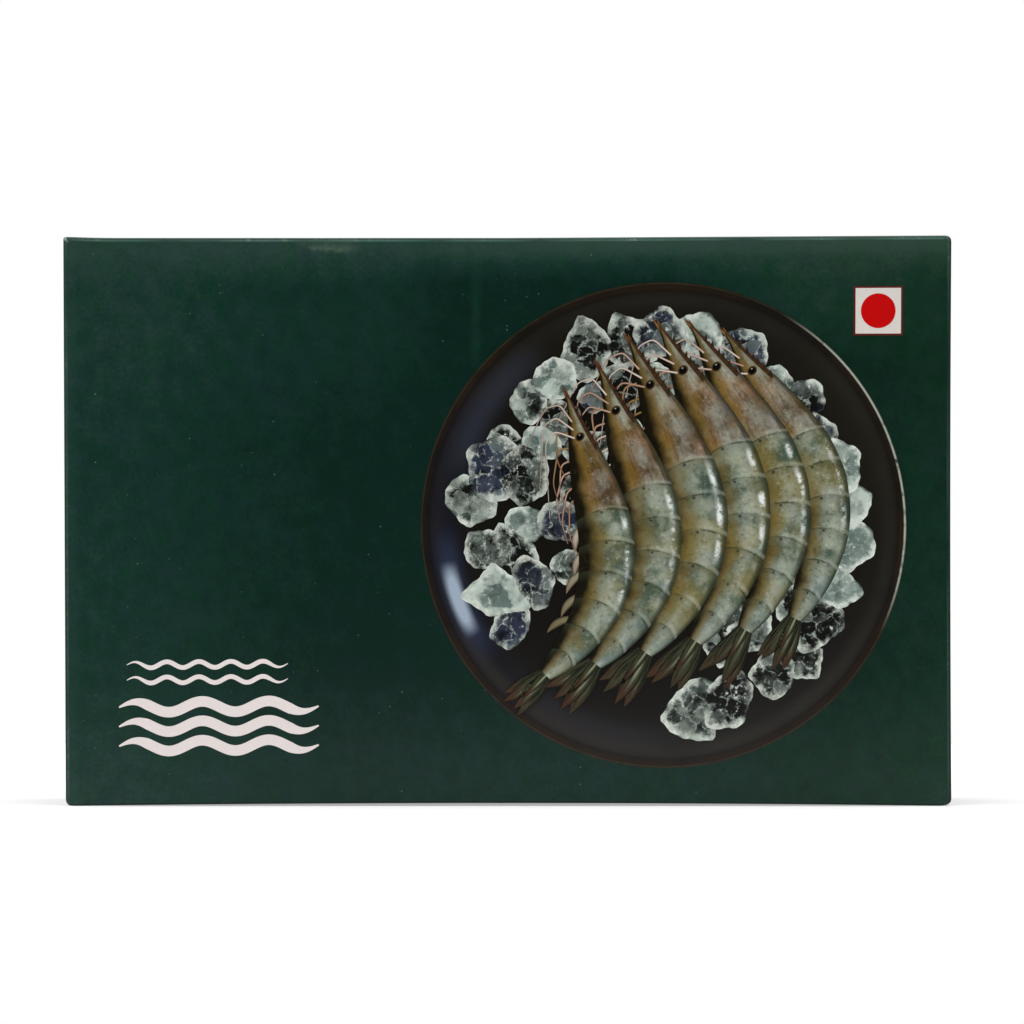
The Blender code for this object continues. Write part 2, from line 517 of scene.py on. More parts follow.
def dish_ink():
    """Dark glazed dish: brown rim, a worn pale line on its right, and soft window glints."""
    nodes = Surface("dish_ink")
    place = nodes.place()
    x, _, z = nodes.split(place)
    across = nodes.scaled(x, DISH_CENTRE[0] * MM, DISH_RADIUS * MM)
    up = nodes.scaled(z, DISH_CENTRE[1] * MM, DISH_RADIUS * MM)
    _, out, _ = nodes.across_shape()
    cloud = nodes.noise(place, 55.0, 3.0)
    fray = nodes.noise(place, 420.0, 4.0)

    def toward(degrees, inner, outer):
        """1 within inner degrees of a direction from the middle, 0 beyond outer degrees."""
        way = math.radians(degrees)
        along = nodes.line(up, math.sin(way), nodes.times(across, math.cos(way)))
        turned = nodes.math("DIVIDE", along, nodes.math("MAXIMUM", out, 0.01))
        return nodes.band(turned, math.cos(math.radians(outer)), math.cos(math.radians(inner)))

    def ring(at, reach):
        return nodes.peak(out, at, reach)

    ink = nodes.mix((up, 0.1, -1.0), srgb(24, 23, 18), srgb(28, 27, 26))
    # Soft sheen round the wall of the dish, stronger below, and glints
    sheen = nodes.line(nodes.band(up, 0.0, -0.8), 0.35, 0.3)
    ink = nodes.stains(
        ink,
        ((30, 29, 23), (across, 0.0, 0.9), (up, -0.2, 0.4), 0.6),
        ((21, 22, 32), toward(188, 18, 62), (out, 0.76, 0.9), 0.75),
        ((12, 11, 9), (out, 0.9, 0.72), 0.6),
        ((46, 44, 39), ring(0.93, 0.055), (cloud, 0.2, 0.6), sheen),
        ((46, 50, 60), toward(146, 4, 24), ring(0.88, 0.09), 0.6),
        ((48, 46, 52), toward(250, 8, 30), ring(0.88, 0.08), 0.35),
        ((42, 50, 72), toward(199, 6, 21), ring(0.895, 0.075), 0.8),
        ((150, 164, 180), toward(200, 3, 12), ring(0.9, 0.045), 1.5),
    )
    rim_ink = nodes.mix((cloud, 0.35, 0.65), srgb(22, 20, 15), srgb(38, 28, 21))
    ink = nodes.mix(nodes.times((out, 0.955, 0.975), 0.8), ink, rim_ink)
    ink = nodes.stains(
        ink,
        ((14, 12, 9), ring(0.965, 0.012), 0.35),
        ((168, 172, 160), toward(17, 24, 44), ring(0.993, 0.007), (fray, 0.22, 0.5), 1.1),
        ((84, 80, 56), ring(0.995, 0.006), fray, 0.35),
    )
    return laminate(nodes, ink)


def ice_ink():
    """Crushed ice: broken planes, clear and dark or frosted, with a bright broken rim and glints."""
    nodes = Surface("ice_ink")
    place = nodes.place()
    turn, out, tone = nodes.across_shape()
    angle = nodes.times(turn, 2 * math.pi)
    around = nodes.join(nodes.math("COSINE", angle), nodes.math("SINE", angle), nodes.times(tone, 40.0))
    lean = nodes.noise(around, 1.0, 2.0)
    coarse = nodes.noise(place, 230.0, 4.0, 0.62)
    fine = nodes.noise(place, 620.0, 5.0, 0.7)
    wander = nodes.noise(place, 260.0, 3.0, output="Color")
    bent = nodes.new("VectorMath", {0: wander, 1: (0.004,) * 3, 2: place}, operation="MULTIPLY_ADD")
    broken = {"Vector": bent.outputs[0], "Scale": 250.0}
    soft = nodes.new("TexVoronoi", {**broken, "Smoothness": 0.35}, feature="SMOOTH_F1")
    plane = nodes.sway(nodes.split(soft.outputs["Color"])[0], coarse, 1.3)
    plane = nodes.sway(plane, fine, 0.9)
    edge = nodes.new("TexVoronoi", broken, feature="DISTANCE_TO_EDGE").outputs["Distance"]
    frost = nodes.band(nodes.line(coarse, 0.7, tone), 0.82, 1.15)
    clear = nodes.mix((plane, 0.3, 1.1), srgb(15, 16, 14), srgb(112, 122, 114))
    frosted = nodes.mix((plane, 0.0, 0.9), srgb(98, 114, 108), srgb(176, 188, 178))
    # Then the rim: bright on the lit side, lost on the other
    hazy = nodes.band(coarse, 0.35, 0.6)
    uneven = nodes.sway(out, fine, 0.75)
    lit = nodes.times((uneven, 0.68, 0.97), (lean, 0.4, 0.56))
    ink = nodes.stains(
        nodes.mix(frost, clear, frosted),
        ((22, 24, 20), (out, 0.75, 0.25), (lean, 0.38, 0.6), 0.45),
        ((60, 68, 92), nodes.peak(tone, 0.3, 0.14), hazy, 0.5),
        ((176, 188, 178), (edge, 0.06, 0.0), (fine, 0.42, 0.56), 0.55),
        ((216, 223, 216), (fine, 0.58, 0.68), (coarse, 0.38, 0.55), 0.85),
        ((212, 219, 208), lit, nodes.line(tone, 0.25, 0.7)),
        ((150, 160, 148), nodes.peak(uneven, 0.93, 0.06), hazy, 0.6),
        ((16, 16, 13), (out, 0.84, 1.0), (lean, 0.5, 0.34), 0.85),
    )
    return laminate(nodes, ink)


def head_tones(nodes, along, across, tone, blotch, patch, cool):
    """Tan and rose, greener on some prawns and towards the nose, with dark streaks and one dark spot."""
    lengthwise = nodes.join(nodes.times(along, 7.0), nodes.times(across, 7.0), tone)
    streaks = nodes.noise(lengthwise, 2.4, 5.0, 0.6)
    return nodes.stains(
        nodes.mix((blotch, 0.34, 0.62), srgb(92, 74, 40), srgb(138, 118, 88)),
        ((68, 76, 46), (tone, 0.55, 0.2), (patch, 0.35, 0.55), 0.8),
        ((146, 142, 126), (cool, 0.46, 0.62), nodes.peak(across, 0.6, 0.4), 0.7),
        ((146, 102, 80), (patch, 0.48, 0.62), (along, 0.15, 0.3), 0.5),
        ((146, 108, 46), (cool, 0.54, 0.4), nodes.peak(across, 0.36, 0.26), 0.7),
        ((92, 104, 106), (blotch, 0.45, 0.62), (across, 0.6, 0.85), 0.6),
        ((50, 42, 26), (streaks, 0.48, 0.66), 0.7),
        ((76, 74, 46), (along, 0.24, 0.05), 0.7),
        ((62, 40, 28), nodes.peak(along, 0.33, 0.1), nodes.peak(across, 0.66, 0.4), 0.8),
    )


def tail_tones(nodes, along, across, tone, blotch, patch, cool):
    """Grey, green and straw, in soft blotches."""
    return nodes.stains(
        nodes.mix((blotch, 0.36, 0.64), srgb(66, 82, 68), srgb(122, 131, 113)),
        ((118, 108, 60), (patch, 0.42, 0.62), nodes.line(tone, 0.6, 0.3)),
        ((88, 110, 114), (cool, 0.5, 0.68), (across, 0.35, 0.8), 0.6),
        ((118, 130, 122), (along, 0.8, 0.96), 0.5),
    )


def shell_ink():
    """A raw prawn's shell. Along runs from nose to tail and across from belly to back."""
    nodes = Surface("shell_ink")
    place = nodes.place()
    along, across, tone = nodes.across_shape()
    blotch = nodes.noise(place, 190.0, 3.0, 0.55)
    fine = nodes.noise(place, 1100.0, 4.0, 0.65)
    shared = (along, across, tone, blotch, nodes.noise(place, 85.0, 2.0), nodes.noise(place, 130.0, 2.0))
    middle = nodes.minus(across, 0.5)
    arc = nodes.line(nodes.times(middle, middle), -0.09, along)
    ink = nodes.mix((arc, 0.375, 0.415), head_tones(nodes, *shared), tail_tones(nodes, *shared))
    # Roundness: straw and then dark belly, light flank, dark outline along the back
    ruffle = nodes.sway(across, blotch, 0.34)
    ink = nodes.stains(
        ink,
        ((104, 84, 36), (ruffle, 0.6, 0.26), 0.75),
        ((20, 17, 9), (ruffle, 0.38, 0.1)),
        ((176, 182, 166), nodes.peak(across, 0.68, 0.26), (blotch, 0.32, 0.62), 0.4),
        ((32, 38, 28), (across, 0.86, 1.0), 0.85),
    )
    # Plates: a pale rear edge over a broken dark joint, shade behind it, and a dark dot on each
    step = nodes.math("FRACT", nodes.scaled(arc, HEAD_SHARE, (1 - HEAD_SHARE) / PLATES))
    on_tail = nodes.band(arc, 0.38, 0.392)
    crack = nodes.band(nodes.noise(place, 300.0, 3.0), 0.4, 0.6)
    dot = nodes.times(nodes.peak(step, 0.1, 0.07), nodes.peak(across, 0.5, 0.045))
    ink = nodes.stains(
        ink,
        ((42, 44, 30), nodes.peak(step, 0.03, 0.05), on_tail, crack, 0.75),
        ((184, 188, 172), nodes.peak(step, 0.93, 0.09), on_tail, (across, 0.4, 0.8), 0.24),
        ((58, 66, 48), (step, 0.45, 0.04), on_tail, 0.3),
        ((22, 22, 14), dot, on_tail),
    )
    # Wet shine where the back bends, broken at each joint, and fine pale and dark freckles
    glint = nodes.band(nodes.noise(place, 260.0, 5.0, 0.7), 0.42, 0.58)
    bright = nodes.line(nodes.peak(step, 0.5, 0.46), 0.8, 0.2)
    shine = nodes.times(nodes.peak(across, 0.87, 0.075), nodes.peak(along, 0.56, 0.24), glint, bright)
    ink = nodes.stains(
        ink,
        ((220, 225, 220), shine, 1.7),
        ((206, 210, 202), (fine, 0.56, 0.66), nodes.peak(across, 0.62, 0.28), 0.22),
        ((40, 42, 30), (fine, 0.45, 0.34), 0.42),
    )
    return laminate(nodes, ink)


def fan_ink():
    """Tail fan blade: near black with a pale rib, dark red towards some tips."""
    nodes = Surface("fan_ink")
    along, across, tone = nodes.across_shape()
    hair = nodes.noise(nodes.join(along, nodes.times(across, 9.0), tone), 3.0, 3.0)
    rib = nodes.times(nodes.peak(across, 0.6, 0.16), (along, 0.9, 0.3))
    ink = nodes.stains(
        nodes.mix((hair, 0.38, 0.66), srgb(24, 25, 18), srgb(66, 70, 50)),
        ((146, 152, 122), rib, nodes.line(tone, 0.7, 0.15)),
        ((74, 30, 22), (along, 0.45, 1.0), nodes.line(tone, 0.5, 0.12)),
        ((16, 15, 10), (nodes.off(across, 0.5), 0.3, 0.5), 0.8),
    )
    return laminate(nodes, ink)


LIMB_TONES = ((52, 42, 26), (92, 48, 34), (136, 108, 62), (176, 138, 116), (214, 198, 184), (108, 102, 72))
DARK, RED, STRAW, ROSE, PALE, GREY = range(6)


def limb_ink():
    """Legs, feelers and nose spikes. Lit along the middle and darker towards the tip."""
    nodes = Surface("limb_ink")
    along, across, tone = nodes.across_shape()
    ink = srgb(*LIMB_TONES[0])
    for k, colour in enumerate(LIMB_TONES[1:]):
        ink = nodes.stain(ink, colour, (tone, k, k + 1))
    ink = nodes.stains(
        ink,
        ((96, 62, 44), (along, 0.4, 1.0), 0.45),
        ((40, 30, 18), (nodes.off(across, 0.5), 0.12, 0.5), 0.75),
    )
    return laminate(nodes, ink)


def eye_ink():
    """A dark bead with a brown ring and one glint."""
    nodes = Surface("eye_ink")
    turn, out, _ = nodes.across_shape()
    ink = nodes.mix((out, 0.6, 1.0), srgb(10, 8, 7), srgb(88, 68, 40))
    glint = nodes.times(nodes.peak(turn, 0.28, 0.1), nodes.peak(out, 0.42, 0.22))
    return laminate(nodes, nodes.stain(ink, (186, 190, 184), glint, 0.8))


# The board


def box_mesh(name, low, high):
    low, high = Vector(low), Vector(high)
    bm = bmesh.new()
    bmesh.ops.create_cube(bm, size=1.0)
    bmesh.ops.scale(bm, vec=high - low, verts=bm.verts)
    bmesh.ops.translate(bm, vec=(low + high) / 2, verts=bm.verts)
    mesh = bpy.data.meshes.new(name)
    bm.to_mesh(mesh)
    bm.free()
    return mesh


def grid_lines(low, high, extra=()):
    """Even lines between low and high, with the extra ones in place of any too close."""
    count = round((high - low) / GRID_STEP)
    even = [low + (high - low) * i / count for i in range(1, count)]
    kept = [at for at in even if all(abs(at - one) > GRID_STEP / 2 for one in extra)]
    for at in sorted(extra):
        if all(abs(at - one) > LEAST_GAP for one in kept):
            kept.append(at)
    return kept


def true_box():
    """The shut box with divided panels and rounded folds, before it has settled."""
    mesh = box_mesh("carton_board", (-END, FRONT, 0), (END, BACK, HEIGHT))
    bm = bmesh.new()
    bm.from_mesh(mesh)
    dent = [DENT_PLACE[0] + DENT_SIZE[0] * i / 4 for i in range(-6, 7)]
    ends, feet = [], []
    for (side, upper), (*reaches, _) in CORNERS.items():
        for i in range(1, ROUNDING_LINES + 1):
            in_x, in_z = (max(LEAST_INSET, reach * i / ROUNDING_LINES) for reach in reaches)
            ends.append(side * (END - in_x))
            feet.append(HEIGHT - in_z if upper else in_z)
    columns = grid_lines(-END, END, [CREASE_X + x for x in CREASE_GRID] + dent + ends)
    rows = grid_lines(0, HEIGHT, [DENT_PLACE[1] - DENT_SIZE[1] * i / 2 for i in range(6)] + feet)
    layers = grid_lines(FRONT, BACK)
    for axis, lines in enumerate((columns, layers, rows)):
        normal = Vector([float(i == axis) for i in range(3)])
        for at in lines:
            geometry = bm.verts[:] + bm.edges[:] + bm.faces[:]
            bmesh.ops.bisect_plane(bm, geom=geometry, plane_co=normal * at, plane_no=normal)
    folds = [e for e in bm.edges if e.calc_face_angle(0) > 1]
    bmesh.ops.bevel(
        bm, geom=folds, offset=FOLD_RADIUS, segments=FOLD_SEGMENTS, profile=0.5, affect="EDGES"
    )
    bm.to_mesh(mesh)
    bm.free()
    return mesh


def cutter(name, low, high, core):
    mesh = box_mesh(name, low, high)
    mesh.materials.append(core)
    made = bpy.data.objects.new(name, mesh)
    PARTS.objects.link(made)
    return made


def subtract(target, tool):
    boolean = target.modifiers.new(tool.name, "BOOLEAN")
    boolean.operation = "DIFFERENCE"
    boolean.solver = "EXACT"
    boolean.material_mode = "TRANSFER"
    boolean.object = tool


def seam_tools(core):
    """The gaps behind the lid, round the end panels and at the tab slots."""
    front = FRONT + LID_THICKNESS
    low = (-END - OVERSHOOT, front, -OVERSHOOT)
    high = (END + OVERSHOOT, front + SEAM_WIDTH, HEIGHT + OVERSHOOT)
    plate = cutter("lid_seam", low, high, core)
    low = (SEAM_DEPTH - END, front - OVERSHOOT, SEAM_DEPTH)
    high = (END - SEAM_DEPTH, front + SEAM_WIDTH + OVERSHOOT, HEIGHT + 2 * OVERSHOOT)
    inner = cutter("lid_seam_core", low, high, core)
    subtract(plate, inner)
    tools = [plate]
    for side in (-1, 1):
        left, right = sorted((side * (END - END_SEAM_DEPTH), side * (END + OVERSHOOT)))
        for height in (END_PANEL_INSET, HEIGHT - END_PANEL_INSET):
            low = (left, front + SEAM_WIDTH / 2, height - SEAM_WIDTH / 2)
            high = (right, BACK - END_PANEL_INSET, height + SEAM_WIDTH / 2)
            tools.append(cutter(f"end_seam_{len(tools)}", low, high, core))
        for share in SLOT_HEIGHTS:
            x = side * (END - SLOT_FROM_END)
            z = HEIGHT * share
            low = (x - SLOT_WIDTH / 2, BACK - SLOT_DEPTH, z - SLOT_LENGTH / 2)
            high = (x + SLOT_WIDTH / 2, BACK + OVERSHOOT, z + SLOT_LENGTH / 2)
            tools.append(cutter(f"tab_slot_{len(tools)}", low, high, core))
    low = (NICK_X - NICK_WIDTH / 2, FRONT - OVERSHOOT, -OVERSHOOT)
    high = (NICK_X + NICK_WIDTH / 2, FRONT + NICK_REACH, NICK_DEPTH)
    tools.append(cutter("nick", low, high, core))
    return tools, [inner]


def build_board():
    mesh = true_box()
    mesh.materials.append(board_material())
    board = bpy.data.objects.new("carton_board", mesh)
    PARTS.objects.link(board)
    tools, helpers = seam_tools(core_material())
    for tool in tools:
        subtract(board, tool)
    bpy.context.view_layer.update()
    evaluated = board.evaluated_get(bpy.context.evaluated_depsgraph_get())
    done = bpy.data.meshes.new_from_object(evaluated)
    board.modifiers.clear()
    board.data = done
    for tool in tools + helpers:
        bpy.data.objects.remove(tool, do_unlink=True)
    flat = done.attributes.new("flat", "FLOAT_VECTOR", "POINT")
    for vertex, item in zip(done.vertices, flat.data):
        item.vector = vertex.co
        vertex.co = settled(vertex.co)
    done.shade_smooth()
    done.set_sharp_from_angle(angle=math.radians(32))
    return board


# Print shapes


class Sheet:
    """One print piece: flat shapes on the front panel, each on its own layer."""

    def __init__(self, name, materials):
        self.name = name
        self.materials = materials
        self.points = []
        self.faces = []
        self.uvs = []
        self.tones = []
        self.slots = []

    def add(self, shape, slot, level, tone=0.5):
        """A shape is a grid of places in mm, rows by columns, and the uv of each within the shape."""
        grid, uv = shape
        rows, columns = grid.shape[:2]
        first = len(self.points)
        for place, own in zip(grid.reshape(-1, 2), uv.reshape(-1, 2)):
            self.points.append(on_front(place[0], place[1], level))
            self.uvs.append(tuple(own))
            self.tones.append(tone)
        for row in range(rows - 1):
            for column in range(columns - 1):
                a = first + row * columns + column
                self.faces.append((a, a + 1, a + columns + 1, a + columns))
                self.slots.append(slot)

    def build(self):
        mesh = bpy.data.meshes.new(self.name)
        mesh.from_pydata(self.points, [], self.faces)
        for material in self.materials:
            mesh.materials.append(material)
        mesh.polygons.foreach_set("material_index", self.slots)
        layer = mesh.uv_layers.new(name="print")
        layer.data.foreach_set("uv", [c for loop in mesh.loops for c in self.uvs[loop.vertex_index]])
        tone = mesh.attributes.new("tone", "FLOAT", "POINT")
        tone.data.foreach_set("value", self.tones)
        bm = bmesh.new()
        bm.from_mesh(mesh)
        bmesh.ops.dissolve_degenerate(bm, dist=1e-7, edges=bm.edges)
        backward = [f for f in bm.faces if f.normal.y > 0]
        bmesh.ops.reverse_faces(bm, faces=backward)
        bm.to_mesh(mesh)
        bm.free()
        mesh.shade_smooth()
        made = bpy.data.objects.new(self.name, mesh)
        PARTS.objects.link(made)
        return made


def ribbon(path, inner, outer, across):
    """A band along path, from inner on its right to outer on its left. Returns its grid and uv."""
    ahead = np.gradient(path, axis=0)
    ahead /= np.linalg.norm(ahead, axis=1)[:, None]
    left = np.stack([-ahead[:, 1], ahead[:, 0]], 1)
    t = np.linspace(0, 1, across + 1)
    reach = -np.asarray(inner)[:, None] * (1 - t) + np.asarray(outer)[:, None] * t
    grid = path[:, None, :] + left[:, None, :] * reach[:, :, None]
    along = np.linspace(0, 1, len(path))
    uv = np.stack(np.broadcast_arrays(along[:, None], t[None, :]), 2)
    return grid, uv


def disc(centre, radius_at, rings, spokes):
    """A patch round centre. radius_at takes angles. u is the turn and v runs out to 1 at the rim."""
    turn = np.linspace(0, 2 * math.pi, spokes + 1)
    reach = radius_at(turn)
    out = np.linspace(0, 1, rings + 1)
    x = centre[0] + out[:, None] * (reach * np.cos(turn))[None, :]
    z = centre[1] + out[:, None] * (reach * np.sin(turn))[None, :]
    uv = np.stack(np.broadcast_arrays(turn[None, :] / (2 * math.pi), out[:, None]), 2)
    return np.stack([x, z], 2), uv


def square(centre, half):
    """A patch round centre, with its uv along and up."""
    x, z = (np.linspace(at - half, at + half, 5) for at in centre)
    share = np.linspace(0, 1, 5)
    return np.stack(np.meshgrid(x, z), 2), np.stack(np.meshgrid(share, share), 2)


# What is printed


def print_dish():
    sheet = Sheet("print_dish", [dish_ink()])
    sheet.add(disc(DISH_CENTRE, lambda turn: DISH_RADIUS, 24, 180), 0, 0)
    return sheet.build()


def ice_radius(draw, size):
    """A lump with broken sides: the nearest of a few lines in each direction, slightly rounded."""
    sides = draw.randint(5, 7)
    lean = draw.uniform(0, math.pi)
    stretch = draw.uniform(0.0, 0.42)
    turns = [2 * math.pi * (k + draw.uniform(-0.3, 0.3)) / sides for k in range(sides)]
    reaches = [size * draw.uniform(0.72, 0.95) * (1 + stretch * math.cos(way - lean) ** 2) for way in turns]
    phase = draw.uniform(0, 6)
    sharp = 9

    def radius_at(turn):
        total = np.zeros_like(turn)
        for way, reach in zip(turns, reaches):
            total += (np.maximum(np.cos(turn - way), 0.0) / reach) ** sharp
        bumps = 1 + 0.035 * np.sin(5 * turn + phase) + 0.022 * np.sin(13 * turn + 2 * phase)
        return total ** (-1 / sharp) * bumps

    return radius_at


# Rows of ice: how many, their share of the dish's radius, size, and the turn they run through
ICE_ROWS = ((25, 0.765, 6.6, -80, 212), (20, 0.6, 6.2, -62, 205), (12, 0.42, 5.6, -50, 200))


def print_ice():
    """Crushed ice: a ring round the prawns, and lumps between them."""
    draw = random.Random(12)
    sheet = Sheet("print_ice", [ice_ink()])
    number = 0
    for count, share, size, start, end in ICE_ROWS:
        for k in range(count):
            way = math.radians(start + (end - start) * (k + draw.uniform(-0.25, 0.25)) / (count - 1))
            out = DISH_RADIUS * (share + draw.uniform(-0.045, 0.045))
            centre = (DISH_CENTRE[0] + out * math.cos(way), DISH_CENTRE[1] + out * math.sin(way))
            lump = disc(centre, ice_radius(draw, size * draw.uniform(0.7, 1.12)), 6, 48)
            sheet.add(lump, 0, 1 + number % 3, draw.random())
            number += 1
    return sheet.build()


SHELL, FAN, LIMB, EYE = range(4)
PROFILE_AT = (0.0, 0.05, 0.12, 0.22, 0.32, 0.42, 0.55, 0.7, 0.85, 0.95, 1.0)
BACK_SHARE = (0.003, 0.012, 0.033, 0.06, 0.08, 0.092, 0.097, 0.086, 0.062, 0.042, 0.024)
BELLY_SHARE = (0.003, 0.012, 0.031, 0.056, 0.074, 0.084, 0.088, 0.077, 0.055, 0.038, 0.024)
BODY_STEPS = 110


def bent_path(start, heading, length, turn, straight, count):
    """Points along a line that runs straight for a share of its length and then turns evenly."""
    share = np.linspace(0, 1, count)
    way = heading + turn * smooth((share - straight) / (1 - straight))
    step = length / (count - 1)
    x = start[0] + np.concatenate([[0], np.cumsum(np.cos(way[:-1]) * step)])
    z = start[1] + np.concatenate([[0], np.cumsum(np.sin(way[:-1]) * step)])
    return np.stack([x, z], 1)


def taper(count, widest, at, root):
    """Half widths of a blade that swells to its widest and ends in a point."""
    share = np.linspace(0, 1, count)
    rising = root + (1 - root) * smooth(share / at)
    falling = 1 - np.clip((share - at) / (1 - at), 0, 1) ** 1.8
    return widest * np.minimum(rising, falling) + 0.02


class Prawn:
    """A prawn on its side whose body ends at tail, its back on the outside of the bend.

    Sizes are shares of its length. Layers count up from its lowest: legs and fan, shell, head parts."""

    def __init__(self, name, tail, heading, length, level, inks, draw):
        self.sheet = Sheet(name, inks)
        self.length = length
        self.level = level
        self.draw = draw
        body = bent_path((0, 0), heading, length, math.radians(PRAWN_TURN), 0.3, BODY_STEPS)
        self.body = body - body[-1] + np.array(tail)
        ahead = np.gradient(self.body, axis=0)
        self.way = np.arctan2(ahead[:, 1], ahead[:, 0])
        share = np.linspace(0, 1, BODY_STEPS)
        plate = np.clip((share - HEAD_SHARE) / (1 - HEAD_SHARE), 0, 1) * PLATES
        scallop = 1 + 0.022 * np.abs(np.sin(math.pi * plate))
        self.back = np.interp(share, PROFILE_AT, BACK_SHARE) * length * scallop
        self.belly = np.interp(share, PROFILE_AT, BELLY_SHARE) * length
        kernel = np.ones(7) / 7
        for side in (self.back, self.belly):
            side[3:-3] = np.convolve(side, kernel, "valid")

    def at(self, along, across):
        """A place on the prawn and the body's heading there. Across is -1 at the belly, 1 at the back."""
        i = min(BODY_STEPS - 1, max(0, round(along * (BODY_STEPS - 1))))
        left = np.array([-math.sin(self.way[i]), math.cos(self.way[i])])
        reach = self.back[i] if across > 0 else self.belly[i]
        return self.body[i] + left * across * reach, self.way[i]

    def blade(self, start, heading, length, widest, turn, slot, layer, tone, at, root):
        path = bent_path(start, heading, length * self.length, turn, 0.0, 16)
        half = taper(len(path), widest * self.length, at, root)
        self.sheet.add(ribbon(path, half, half, 4), slot, self.level + layer, tone)

    def limb(self, start, bends, layer, tone, width=0.0075):
        """A jointed leg or feeler. Each bend is the heading and length of one joint."""
        corners = [np.array(start)]
        for heading, length in bends:
            step = np.array([math.cos(heading), math.sin(heading)]) * length * self.length
            corners.append(corners[-1] + step)
        corners = np.array(corners)
        share = np.linspace(0, len(bends), 10 * len(bends) + 1)
        path = np.stack([np.interp(share, range(len(corners)), corners[:, i]) for i in (0, 1)], 1)
        kernel = np.array([1, 2, 3, 4, 3, 2, 1]) / 16
        for i in (0, 1):
            path[3:-3, i] = np.convolve(path[:, i], kernel, "valid")
        half = width * self.length / 2 * (1 - 0.6 * np.linspace(0, 1, len(path)))
        self.sheet.add(ribbon(path, half, half, 2), LIMB, self.level + layer, tone)

    def add_swimming_legs(self):
        for k in range(5):
            root, facing = self.at(0.43 + 0.09 * k, -0.7)
            droop = facing - math.radians(52 + self.draw.uniform(-8, 8))
            self.blade(root, droop, 0.105, 0.0125, 0.8, LIMB, 0, GREY - 0.5 + 0.1 * k, 0.5, 0.8)

    def add_fan(self):
        root, facing = self.at(0.975, 0.0)
        for lean, layer in ((-15, 0), (14, 0), (-6, 1), (6, 1)):
            angle = facing + math.radians(lean + self.draw.uniform(-3, 3))
            size = self.draw.uniform(0.17, 0.215)
            self.blade(root, angle, size, 0.023, -0.12, FAN, layer, self.draw.random(), 0.55, 0.7)
        self.blade(root, facing, 0.13, 0.014, 0, FAN, 2, 0.9, 0.4, 0.9)

    def add_shell(self, tone):
        shell = ribbon(self.body, self.belly, self.back, 16)
        self.sheet.add(shell, SHELL, self.level + 3, tone)

    def add_nose(self):
        """Spikes, and the saw that runs back along the top of the head."""
        for lean, long, across in ((-8, 0.075, -0.4), (7, 0.085, 0.2), (14, 0.06, 0.5)):
            root, facing = self.at(0.055, across)
            angle = facing + math.pi + math.radians(lean)
            self.blade(root, angle, long, 0.007, 0.08, LIMB, 2, self.draw.uniform(RED, STRAW), 0.2, 1.0)
        root, _ = self.at(0.2, 0.8)
        saw = self.at(0.0, 0.0)[0] - root
        reach = 1.18 * np.hypot(*saw) / self.length
        self.blade(root, math.atan2(saw[1], saw[0]), reach, 0.006, 0.0, LIMB, 4, 0.4, 0.2, 0.8)
        for k in range(6):
            root, facing = self.at(0.19 - 0.025 * k, 0.78)
            self.blade(root, facing + math.pi - 0.6, 0.022, 0.004, 0.0, LIMB, 4, DARK, 0.2, 1.0)

    def add_walking_legs(self):
        for k in range(6):
            root, facing = self.at(0.13 + 0.04 * k, -0.6)
            knee = facing - 1.7 + 0.12 * k + self.draw.uniform(-0.15, 0.15)
            shin = facing - 0.42 + self.draw.uniform(-0.12, 0.22)
            bends = ((knee, 0.052), (shin, self.draw.uniform(0.08, 0.12)), (shin + 0.45, 0.07))
            self.limb(root, bends, 0, self.draw.uniform(STRAW, PALE))

    def add_feelers(self):
        for k in range(3):
            root, facing = self.at(0.09 + 0.03 * k, -0.4)
            out = facing + math.pi + 0.35 + 0.3 * k
            back_again = facing - 0.75 + 0.3 * k + self.draw.uniform(-0.15, 0.15)
            bends = ((out, 0.07), (out + 1.2, 0.05), (back_again, 0.15 + 0.05 * k))
            self.limb(root, bends, 4, self.draw.uniform(ROSE, PALE), 0.0065)

    def add_eye(self):
        place, _ = self.at(0.15, 0.05)
        bead = disc(place, lambda turn: 0.0155 * self.length * (1 + 0.12 * np.sin(2 * turn)), 4, 20)
        self.sheet.add(bead, EYE, self.level + 4)


PRAWNS = 6
PRAWN_LAYERS = 5
FIRST_PRAWN_LAYER = 4
PRAWN_TAIL = (-28.0, -35.5)
PRAWN_STEP = (11.8, 2.7)
PRAWN_HEADING = -74.0
PRAWN_SPREAD = 3.6
PRAWN_TURN = -60.0
PRAWN_LENGTH = (72.0, 76.0, 80.0, 81.0, 79.0, 75.0)


def print_prawns():
    """A regular fan of prawns, each laid over the one to its right."""
    draw = random.Random(7)
    inks = [shell_ink(), fan_ink(), limb_ink(), eye_ink()]
    made = []
    for k in range(PRAWNS):
        tail = [c + first + step * k for c, first, step in zip(DISH_CENTRE, PRAWN_TAIL, PRAWN_STEP)]
        heading = math.radians(PRAWN_HEADING + PRAWN_SPREAD * k)
        level = FIRST_PRAWN_LAYER + PRAWN_LAYERS * (PRAWNS - 1 - k)
        prawn = Prawn(f"print_prawn_{k + 1}", tail, heading, PRAWN_LENGTH[k], level, inks, draw)
        prawn.add_swimming_legs()
        prawn.add_fan()
        prawn.add_shell(draw.random())
        prawn.add_nose()
        prawn.add_walking_legs()
        prawn.add_feelers()
        prawn.add_eye()
        made.append(prawn.sheet.build())
    return made


